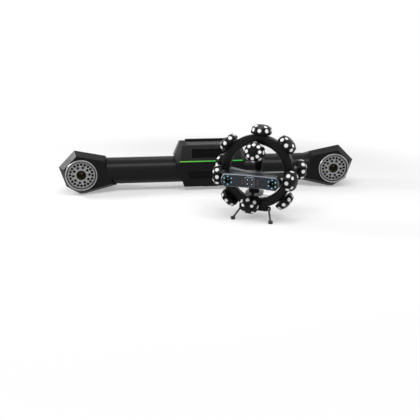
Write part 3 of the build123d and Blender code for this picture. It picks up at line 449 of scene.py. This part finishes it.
def woven(carbon, around, along, strand, dark, light, shine, specular, relief):
    """Carbon twill: strands over two and under two, with the coat's gloss over them."""
    u = around / strand
    v = along / strand
    column = u - u % 1.0
    row = v - v % 1.0
    over = (column + row) % 4.0 < 2.0
    across = over * (v % 1.0) + (1.0 - over) * (u % 1.0)
    crown = across * (1.0 - across) * 4.0
    fibre = carbon.grain(3000.0, 1.0)
    colour = carbon.mix(over * 0.65 + crown * 0.35, dark, light)
    gloss = carbon.band(over * 0.5 + fibre * 0.5, 0.0, 1.0, shine - 0.06, shine + 0.08)
    return carbon.surface(
        Base_Color=colour, Roughness=gloss,
        Specular_IOR_Level=specular, Coat_Weight=0.05, Coat_Roughness=0.2,
        Normal=carbon.relief(crown + fibre * 0.2, relief))


tube_weave = Finish("carbon fibre of the tube")
place = tube_weave.node("ShaderNodeMapping", {"vector_type": "POINT"},
                        {"Vector": tube_weave.spot, "Location": (0.0, 0.0, -tube_axis)})
depth = tube_weave.axis(place, "Y")
turn = depth.math("ARCTAN2", depth, tube_weave.axis(place, "Z"))
woven(tube_weave, turn * tube_radius, tube_weave.axis(place, "X"), strand=0.0026,
      dark=(0.0015, 0.0015, 0.0016, 1.0), light=(0.003, 0.003, 0.0032, 1.0), shine=0.36, specular=0.12,
      relief=0.00002)
bm = bmesh.new()
bmesh.ops.create_cone(bm, cap_ends=False, segments=160, radius1=tube_radius, radius2=tube_radius,
                      depth=tube_length)
bmesh.ops.rotate(bm, verts=bm.verts, cent=(0.0, 0.0, 0.0), matrix=Matrix.Rotation(radians(90.0), 3, "Y"))
bmesh.ops.translate(bm, verts=bm.verts, vec=(0.0, 0.0, tube_axis))
bmesh.ops.solidify(bm, geom=bm.faces, thickness=tube_wall)
piece("tube", bm, tube_weave.material, "tracker", "carbon_tube")


# The housing in the middle: two painted shells over the tube, with the carrying handle cut
# free of the front one and set into its groove.
edged("housing_front_shell", charcoal, "tracker", 0.0008)
edged("housing_rear_shell", charcoal, "tracker", 0.0008)
handle_grey = painted("grey paint", (0.03, 0.03, 0.031, 1.0), (0.12, 0.12, 0.123, 1.0), 0.36, 0.25)
edged("top_handle", handle_grey, "tracker", 0.0012)


# The pad on the handle: a strip of soft black rubber, pressed on along its top.
soft_black = Finish("soft black rubber")
tooth = soft_black.grain(1300.0, 2.0)
soft_black.surface(
    Base_Color=soft_black.mix(
        soft_black.grain(40.0, 3.0), (0.003, 0.003, 0.003, 1.0), (0.007, 0.007, 0.007, 1.0)),
    Roughness=soft_black.band(tooth, 0.2, 0.8, 0.5, 0.65), Specular_IOR_Level=0.05,
    Normal=soft_black.relief(tooth, 0.00006))
edged("handle_pad", soft_black.material, "tracker", 0.0008)


# The display: a tinted window set flush into the upper facet over its module, both dark.
tinted = Finish("tinted window glass")
tinted.surface(
    Base_Color=tinted.mix(tinted.grain(25.0), (0.0008, 0.0008, 0.001, 1.0), (0.002, 0.002, 0.0025, 1.0)),
    Roughness=tinted.band(tinted.grain(90.0, 3.0), 0.3, 0.7, 0.08, 0.14), Specular_IOR_Level=0.06)
edged("display_window", tinted.material, "tracker", 0.0004)
moulded = Finish("moulded black plastic")
tooth = moulded.grain(1500.0, 2.0)
moulded.surface(
    Base_Color=moulded.mix(
        moulded.grain(35.0, 3.0), (0.002, 0.002, 0.0022, 1.0), (0.005, 0.005, 0.0055, 1.0)),
    Roughness=moulded.band(tooth, 0.2, 0.8, 0.42, 0.6), Specular_IOR_Level=0.07,
    Normal=moulded.relief(tooth, 0.00006))
edged("display_module", moulded.material, "tracker", 0.0004)


# The light strip along the ridge: a milky light guide, lit green from both ends.
glow = Finish("green light guide")
spread = glow.band(glow.axis(glow.spot, "X") + glow.grain(60.0, 2.0) * 0.04, -0.11, 0.09)
glow.surface(
    Base_Color=glow.mix(spread, (0.02, 0.07, 0.005, 1.0), (0.005, 0.07, 0.01, 1.0)),
    Roughness=0.35, Specular_IOR_Level=0.2,
    Emission_Color=glow.mix(spread, (0.11, 0.44, 0.03, 1.0), (0.03, 0.46, 0.045, 1.0)), Emission_Strength=1.0)
edged("light_strip", glow.material, "tracker", 0.0004)


# The front grille: a slotted panel of textured black plastic in the lower recess, and the
# anodised plate with the power and network sockets on the back.
edged("front_grille", moulded.material, "tracker", 0.0004)
edged("socket_plate", anodised.material, "tracker", 0.0004)
edged("sockets", moulded.material, "tracker", 0.0004)


# Inside the housing: moulded cradles on the tube carry the green circuit board.
edged("tube_saddles", moulded.material, "tracker", 0.0005)
board = Finish("solder mask")
board.surface(
    Base_Color=board.mix(board.node("ShaderNodeTexBrick", None, {"Vector": board.spot, "Scale": 90.0}, "Fac"),
                         (0.012, 0.09, 0.04, 1.0), (0.02, 0.16, 0.07, 1.0)),
    Roughness=board.band(board.grain(300.0), 0.3, 0.7, 0.3, 0.45))
edged("main_board", board.material, "tracker", 0.0002)


# The mount: an anodised block clamped under the tube, drilled and tapped for a tripod.
edged("mount_block", black_anodised.material, "tracker", 0.0008)


# The power button on the back: turned aluminium, it presses in.
edged("power_button", turned.material, "power_button", 0.0004)


# Screws: black socket heads that hold the covers and the rear shell.
black_steel = Finish("black oxide steel")
tooth = black_steel.grain(1800.0, 2.0)
black_steel.surface(
    Base_Color=black_steel.mix(
        black_steel.grain(200.0), (0.012, 0.012, 0.013, 1.0), (0.035, 0.035, 0.037, 1.0)),
    Metallic=0.8, Roughness=black_steel.band(tooth, 0.2, 0.8, 0.3, 0.45),
    Normal=black_steel.relief(tooth, 0.00002))
edged("tracker_screws", black_steel.material, "tracker", 0.0003, 2)


# The scanner's ring: carbon twill laid up in a mould, satin, with its edges broken.
# Everything of the scanner is in the scanner's own frame first: its middle is the origin.
scanner_middle = (0.107, -0.356, 0.1365)
scanner_turn = radians(-26.8)
scanner_place = Matrix.Translation(scanner_middle) @ Matrix.Rotation(scanner_turn, 4, "Z")

ring_weave = Finish("carbon fibre of the ring")
place = ring_weave.node("ShaderNodeMapping", {"vector_type": "TEXTURE"}, {
    "Vector": ring_weave.spot, "Location": scanner_middle, "Rotation": (0.0, 0.0, scanner_turn)})
across = ring_weave.axis(place, "X")
height = ring_weave.axis(place, "Z")
turn = across.math("ARCTAN2", across, height)
square = across * across + height * height
radius = square.math("SQRT", square)
ring_mean_radius = 0.100
woven(ring_weave, turn * ring_mean_radius, radius + ring_weave.axis(place, "Y"), strand=0.0022,
      dark=(0.0008, 0.0008, 0.0008, 1.0), light=(0.011, 0.011, 0.0115, 1.0), shine=0.26, specular=0.09,
      relief=0.00018)
ring_profile = millimetres([
    (86.0, -9.0), (86.5, -10.0), (88.0, -11.6), (89.0, -12.0), (111.0, -12.0), (112.0, -11.6), (113.6, -10.0),
    (114.0, -9.0), (114.0, 9.0), (113.6, 10.0), (112.0, 11.6), (111.0, 12.0), (89.0, 12.0), (88.0, 11.6),
    (86.5, 10.0), (86.0, 9.0)])
bm = spun(ring_profile, 192, closed=True)
bmesh.ops.transform(bm, matrix=scanner_place @ face_front, verts=bm.verts)
piece("ring", bm, ring_weave.material, "scanner", "scanner_ring")


# Marker domes: eight-sided moulded caps painted satin black, on short stems round the ring,
# at the ends of the side arms, on the pod and in front of the foot.
dome_black = painted("satin black paint", (0.002, 0.002, 0.0022, 1.0), (0.04, 0.04, 0.042, 1.0), 0.30, 0.09)
domes = ["dome_top", "dome_upper_left", "dome_upper_right", "dome_lower_left", "dome_lower_right",
         "dome_front_left", "dome_front_right", "dome_rear_left", "dome_rear_right", "dome_bottom",
         "dome_middle"]
for name in domes:
    edged(name, dome_black, "scanner", 0.0012)


# Targets: discs of white reflecting film in thin grey rings, eight round the band of each dome
# and four on its crown. The film is packed with glass beads, so it is white and slightly rough.
target_radius = 0.005
dome_reach = 0.035
crown_scale = 1.05
facet_turn = radians(45.0)
least_corners = 7
dome_middles = [sum(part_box(name), Vector()) / 2.0 for name in domes]
discs = solid("dome_targets")
target_places = []
for face in discs.faces:
    middle = face.calc_center_median()
    if len(face.verts) >= least_corners:
        nearest = min(dome_middles, key=lambda dome: (dome - middle).length)
        if face.normal.dot(middle - nearest) > 0.0:
            radius = (face.verts[0].co - middle).length
            turn = face.normal.to_track_quat("Z", "Y").to_matrix().to_4x4()
            target_places.append(Matrix.Translation(middle) @ turn @ Matrix.Scale(radius / target_radius, 4))
discs.free()

# The middle dome looks at the front and has targets on every facet of its crown, so the four
# of its crown, which are smaller, are set a second time one facet further round.
middle_dome = dome_middles[domes.index("dome_middle")]
crown_places = [place for place in target_places
                if (place.translation - middle_dome).length < dome_reach and place.median_scale < crown_scale]
facing = sum((place.to_3x3() @ Vector((0.0, 0.0, 1.0)) for place in crown_places), Vector())
about_dome = (Matrix.Translation(middle_dome) @ Matrix.Rotation(facet_turn, 4, facing)
              @ Matrix.Translation(-middle_dome))
target_places += [about_dome @ place for place in crown_places]
film = Finish("reflecting film")
beads = film.node("ShaderNodeTexVoronoi", None, {"Vector": film.spot, "Scale": 2600.0}, "Distance")
film.surface(
    Base_Color=film.mix(film.grain(120.0, 2.0), (0.74, 0.74, 0.75, 1.0), (0.84, 0.84, 0.84, 1.0)),
    Roughness=film.band(beads, 0.1, 0.6, 0.45, 0.65), Normal=film.relief(beads, 0.00003))
film_profile = millimetres([(0.0, -0.5), (4.9, -0.5), (4.9, 0.0), (4.7, 0.1), (3.0, 0.14), (0.0, 0.16)])
piece("target_films", repeated(spun(film_profile, 24), target_places), film.material, "scanner",
      "dome_targets")
collar_profile = millimetres([(5.05, -0.5), (5.05, 0.1), (5.2, 0.25), (5.9, 0.3), (6.05, 0.1), (6.1, -0.6)])
collar = Finish("grey ring")
collar.surface(
    Base_Color=collar.mix(collar.grain(200.0), (0.06, 0.06, 0.062, 1.0), (0.11, 0.11, 0.113, 1.0)),
    Roughness=collar.band(collar.grain(1500.0), 0.2, 0.8, 0.35, 0.5))
piece("target_collars", repeated(spun(collar_profile, 24, closed=True), target_places), collar.material,
      "scanner")


# Camera bar: two shells with slate paint in front and dark grey behind, milled so that the
# wings look inwards, with ends rounded about the lenses. The broad bevel gets a lighter metallic finish as a
# painted highlight.
bar_middle = -0.0125
bar_toe = radians(10.0)
lens_out = 0.0665
lens_clear = 0.018
end_wall_from = 0.080
end_wall_front = -0.070
end_wall_shift = 0.0047
end_corner_from = 0.077
end_corner_radius = 0.0052
corner_lean = 0.55
corner_least = 0.001
corner_turn = radians(20.0)
bevel_least = 0.45
bevel_most = 0.93
scanner_front = scanner_place.to_3x3() @ Vector((0.0, -1.0, 0.0))


def round_ended(node):
    """A shell of the bar, its front drawn in about the lenses and its ends' corners rounded."""
    bm = solid(node)
    bmesh.ops.transform(bm, matrix=scanner_place.inverted(), verts=bm.verts)
    for side in (-1, 1):
        lens = Vector((lens_out * side, bar_middle))
        end_wall = [vert for vert in bm.verts
                    if vert.co.x * side > end_wall_from and vert.co.y < end_wall_front
                    and (vert.co.xz - lens).length > lens_clear]
        bmesh.ops.translate(bm, verts=end_wall,
                            vec=(-end_wall_shift * side, end_wall_shift * tan(bar_toe), 0.0))
    corners = []
    for edge in bm.edges:
        run = edge.verts[1].co - edge.verts[0].co
        outermost = min(abs(vert.co.x) for vert in edge.verts) > end_corner_from
        runs_back = abs(run.y) > corner_lean * run.length > corner_least
        if outermost and runs_back and edge.is_convex and edge.calc_face_angle(0.0) > corner_turn:
            corners.append(edge)
    bmesh.ops.bevel(bm, geom=corners, offset=end_corner_radius, offset_type="OFFSET", segments=5,
                    profile=0.5, affect="EDGES", clamp_overlap=True, material=-1)
    bmesh.ops.transform(bm, matrix=scanner_place, verts=bm.verts)
    return bm


def lighten_bevels_as_highlight(made, finish):
    """Gives the bevels round the scanner's front a second, lighter finish, which is a painted highlight along
    them.
    """
    made.data.materials.append(finish)
    for face in made.data.polygons:
        if bevel_least < face.normal.dot(scanner_front) < bevel_most:
            face.material_index = 1


slate = painted("slate paint", (0.017, 0.021, 0.026, 1.0), (0.10, 0.12, 0.14, 1.0), 0.34, 0.2)
# Painted highlight: the bevels are coloured lighter than the slate to stand for the light they catch.
highlit_bevel_slate = Finish("slate bevel with painted highlight")
tooth = highlit_bevel_slate.grain(1500.0, 2.0)
highlit_bevel_slate.surface(
    Base_Color=highlit_bevel_slate.mix(
        highlit_bevel_slate.grain(60.0, 3.0), (0.065, 0.076, 0.09, 1.0), (0.12, 0.137, 0.16, 1.0)),
    Metallic=0.7, Roughness=highlit_bevel_slate.band(tooth, 0.2, 0.8, 0.28, 0.4),
    Normal=highlit_bevel_slate.relief(tooth, 0.00002))
lighten_bevels_as_highlight(edged("bar_front_shell", slate, "scanner", 0.0008, shape=round_ended("bar_front_shell")),
           highlit_bevel_slate.material)
dark_grey = painted("dark grey paint", (0.005, 0.0055, 0.0065, 1.0), (0.07, 0.075, 0.08, 1.0), 0.38, 0.12)
edged("bar_rear_shell", dark_grey, "scanner", 0.0014, shape=round_ended("bar_rear_shell"))


# Bar lenses: ribbed black barrels with coated glass and a broad flange in slate, six small
# lights in each flange. The four laser windows sit in thin black rims.
bar_front = -0.082
wing_from = 0.038
flange_from = 0.0092
wing_faces = []
for side in (-1, 1):
    wing_middle = (lens_out * side, bar_front - (lens_out - wing_from) * tan(bar_toe), bar_middle)
    wing_faces.append(scanner_place @ Matrix.Translation(wing_middle) @ face_front
                      @ Matrix.Rotation(-bar_toe * side, 4, "Y"))
bar_barrel_profile = millimetres([
    (0.0, -11.0), (8.9, -11.0), (8.9, -2.0), (15.6, -2.0), (15.6, -0.7), (15.3, -0.4), (14.9, -0.4),
    (14.6, -0.7), (9.4, -0.7), (8.9, -0.4), (8.9, 0.4), (8.6, 0.8), (7.9, 0.8), (7.6, 0.4), (7.4, -0.4),
    (7.2, -0.4), (7.4, -1.2), (7.2, -1.2), (7.4, -2.0), (7.1, -2.2), (7.0, -9.0), (0.0, -9.0)])
bar_barrel = spun(bar_barrel_profile, 48)
for face in bar_barrel.faces:
    if face.calc_center_median().xy.length > flange_from:
        face.material_index = 1
bar_barrels = piece("bar_barrels", repeated(bar_barrel, wing_faces), black_anodised.material, "scanner",
                    "bar_lens_barrels")
bar_barrels.data.materials.append(painted(
    "slate flange paint", (0.010, 0.012, 0.014, 1.0), (0.10, 0.12, 0.14, 1.0), 0.34, 0.2))
# Painted highlight and reflection: an amber spot near the middle and an olive rim below on each bar lens.
glass_with_painted_olive_reflection = coated("olive coated glass", (0.002, 0.002, 0.0015, 1.0), (0.55, 0.42, 0.16, 1.0),
                     (0.02, 0.09, 0.06, 1.0), highlight_at=(0.05, 0.2), highlight_size=0.32)
window_out = 0.0064
window_front = -0.086
window_places = []
for x in (-window_out, window_out):
    for z in (-window_out, window_out):
        window_places.append(
            scanner_place @ Matrix.Translation((x, window_front, bar_middle + z)) @ face_front)
bar_lens = lens_bowl(radius=0.0069, curve=0.014, apex=-0.003, edge=-0.0085)
piece("bar_lenses", repeated(bar_lens, wing_faces), glass_with_painted_olive_reflection, "scanner", "scanner_glasses")
# Painted highlight: a white glint in the middle of each laser window, with a painted blue reflection along
# its lower rim.
window_glass = coated("blue coated glass with painted glint", (0.003, 0.005, 0.016, 1.0), (0.85, 0.9, 1.0, 1.0),
                      (0.01, 0.02, 0.09, 1.0), highlight_at=(0.05, 0.05), highlight_size=0.6)
window_lens = lens_bowl(radius=0.0039, curve=0.010, apex=-0.0006, edge=-0.0025)
piece("laser_windows", repeated(window_lens, window_places), window_glass, "scanner")
window_rim_profile = millimetres([
    (3.9, -0.6), (3.9, 0.1), (4.05, 0.25), (4.9, 0.25), (5.1, 0.1), (5.15, -0.3)])
window_rims = repeated(spun(window_rim_profile, 32, closed=True), window_places)
piece("laser_rims", window_rims, black_anodised.material, "scanner")
light_circle = 0.0123
light_count = 6
light_places = []
for wing_face in wing_faces:
    for step in range(light_count):
        turn = 2.0 * pi * step / light_count
        light_places.append(
            wing_face @ Matrix.Translation((light_circle * sin(turn), light_circle * cos(turn), 0.0)))
small_light_profile = millimetres([(0.0, -3.9), (2.2, -3.9), (2.2, -0.4), (1.9, 0.0), (1.2, 0.3), (0.0, 0.4)])
cyan = Finish("cyan light")
cyan.surface(
    Base_Color=cyan.mix(cyan.grain(300.0), (0.05, 0.16, 0.22, 1.0), (0.08, 0.2, 0.26, 1.0)), Roughness=0.25,
    Emission_Color=cyan.mix(cyan.grain(500.0), (0.12, 0.42, 0.62, 1.0), (0.22, 0.55, 0.75, 1.0)),
    Emission_Strength=0.65)
piece("lens_light_domes", repeated(spun(small_light_profile, 16), light_places), cyan.material, "scanner",
      "lens_lights")


# Indicator lights: two rows of four small orange lights beside the laser block.
orange = Finish("orange light")
orange.surface(
    Base_Color=orange.mix(orange.grain(300.0), (0.2, 0.1, 0.04, 1.0), (0.25, 0.13, 0.06, 1.0)), Roughness=0.3,
    Emission_Color=orange.mix(orange.grain(500.0), (0.5, 0.24, 0.07, 1.0), (0.6, 0.33, 0.12, 1.0)),
    Emission_Strength=0.14)
row_out = 0.0238
row_pitch = 0.0045
row_count = 4
light_places = []
for side in (-1, 1):
    for step in range(row_count):
        from_middle = (step - (row_count - 1) / 2.0) * row_pitch
        light_places.append(scanner_place @ Matrix.Translation(
            (row_out * side, bar_front, bar_middle + from_middle)) @ face_front)
indicator_profile = millimetres([(0.0, -2.9), (0.93, -2.9), (0.93, 0.0), (0.75, 0.15), (0.0, 0.25)])
piece("indicator_domes", repeated(spun(indicator_profile, 12), light_places), orange.material, "scanner",
      "indicator_lights")


# The laser block: a milled and anodised frame round four windows, its chamfer given the lighter bevel finish
# as a painted highlight.
laser_slate = painted("anodised slate", (0.034, 0.04, 0.048, 1.0), (0.2, 0.23, 0.26, 1.0), 0.3, 0.3)
lighten_bevels_as_highlight(edged("laser_module", laser_slate, "scanner", 0.0004), highlit_bevel_slate.material)


# The frame in the ring: a bead-blasted casting of hub and two curved spokes, side arms of the
# same metal between ring, bar and side domes, and the keypad's buttons on the back of the hub.
blasted = Finish("bead blasted aluminium")
haze = blasted.grain(30.0, 3.0)
tooth = blasted.grain(1700.0, 2.0)
blasted.surface(
    Base_Color=blasted.mix(haze, (0.07, 0.072, 0.076, 1.0), (0.12, 0.123, 0.128, 1.0)),
    Metallic=0.7, Roughness=blasted.band(tooth, 0.2, 0.8, 0.38, 0.52), Normal=blasted.relief(tooth, 0.00005))
edged("cross_frame", blasted.material, "scanner", 0.0014)
edged("side_arms", blasted.material, "scanner", 0.0012)
key_rubber = Finish("keycap rubber")
key_rubber.surface(
    Base_Color=key_rubber.mix(key_rubber.grain(150.0, 3.0), (0.02, 0.08, 0.2, 1.0), (0.03, 0.11, 0.25, 1.0)),
    Roughness=key_rubber.band(key_rubber.grain(900.0), 0.3, 0.7, 0.5, 0.65))
edged("scan_button", key_rubber.material, "scan_button", 0.0005)
edged("key_button_left", moulded.material, "key_button_left", 0.0004)
edged("key_button_right", moulded.material, "key_button_right", 0.0004)


# The grip: an oval core of soft black rubber, and a sleeve of the same rubber pulled over it
# between the hub and the clamp, with round ribs across the fingers.
edged("handle", soft_black.material, "scanner", 0.0012)
sleeve_top = -0.0326
rib_pitch = 0.0039
rib_count = 6
rib_shape = ((1.0, 0.0), (1.02, 0.08), (1.032, 0.25), (1.036, 0.5), (1.032, 0.75), (1.02, 0.92))
sleeve_foot = sleeve_top - rib_count * rib_pitch
sleeve_inside = 0.97
sleeve_profile = [(sleeve_inside, sleeve_top)]
for rib in range(rib_count):
    sleeve_profile += [(swell, sleeve_top - (rib + share) * rib_pitch) for swell, share in rib_shape]
sleeve_profile += [(1.0, sleeve_foot), (sleeve_inside, sleeve_foot)]
grip_half_width = 0.015
grip_half_depth = 0.018
grip_lean = -0.075
grip_back = -0.0314
oval = Matrix(((grip_half_width, 0.0, 0.0, 0.0), (0.0, grip_half_depth, grip_lean, grip_back),
               (0.0, 0.0, 1.0, 0.0), (0.0, 0.0, 0.0, 1.0)))
bm = spun(sleeve_profile, 64, closed=True)
bmesh.ops.transform(bm, matrix=scanner_place @ oval, verts=bm.verts)
piece("grip_sleeve", bm, soft_black.material, "scanner", crease=50.0)
nickel = Finish("nickel plate")
nickel.surface(
    Base_Color=nickel.mix(nickel.grain(60.0, 3.0), (0.44, 0.44, 0.43, 1.0), (0.52, 0.515, 0.50, 1.0)),
    Metallic=1.0, Roughness=nickel.band(nickel.grain(900.0), 0.2, 0.8, 0.24, 0.28))
edged("cable_socket", nickel.material, "scanner", 0.0003)


# The clamp: a blasted collar round the foot of the grip, with a bright lever that locks it.
edged("clamp_collar", blasted.material, "scanner", 0.0006)
edged("clamp_lever", nickel.material, "clamp_lever", 0.0008)


# The pod: a black plastic housing behind the middle dome, on its mast over the hub.
edged("rear_pod", moulded.material, "scanner", 0.0012)


# The stand: a black anodised saddle under the ring with three steel legs on pins, each in
# a rubber foot, and the black screws of the ring, the saddle and the bar.
edged("stand_saddle", black_anodised.material, "scanner", 0.0006)
edged("stand_pins", nickel.material, "scanner", 0.0002)
foot_top = -0.0021
leg_steel = Finish("leg steel and foot rubber")
metal = leg_steel.axis(leg_steel.spot, "Z") > foot_top
leg_steel.surface(
    Base_Color=leg_steel.mix(metal, (0.006, 0.006, 0.006, 1.0), (0.13, 0.13, 0.134, 1.0)),
    Metallic=metal * 0.9,
    Roughness=leg_steel.band(leg_steel.grain(800.0), 0.3, 0.7, 0.3, 0.45) + (1.0 - metal) * 0.25)
for name in ("leg_left", "leg_right", "leg_rear"):
    edged(name, leg_steel.material, name, 0.0005)
edged("scanner_screws", black_steel.material, "scanner", 0.0003, 2)
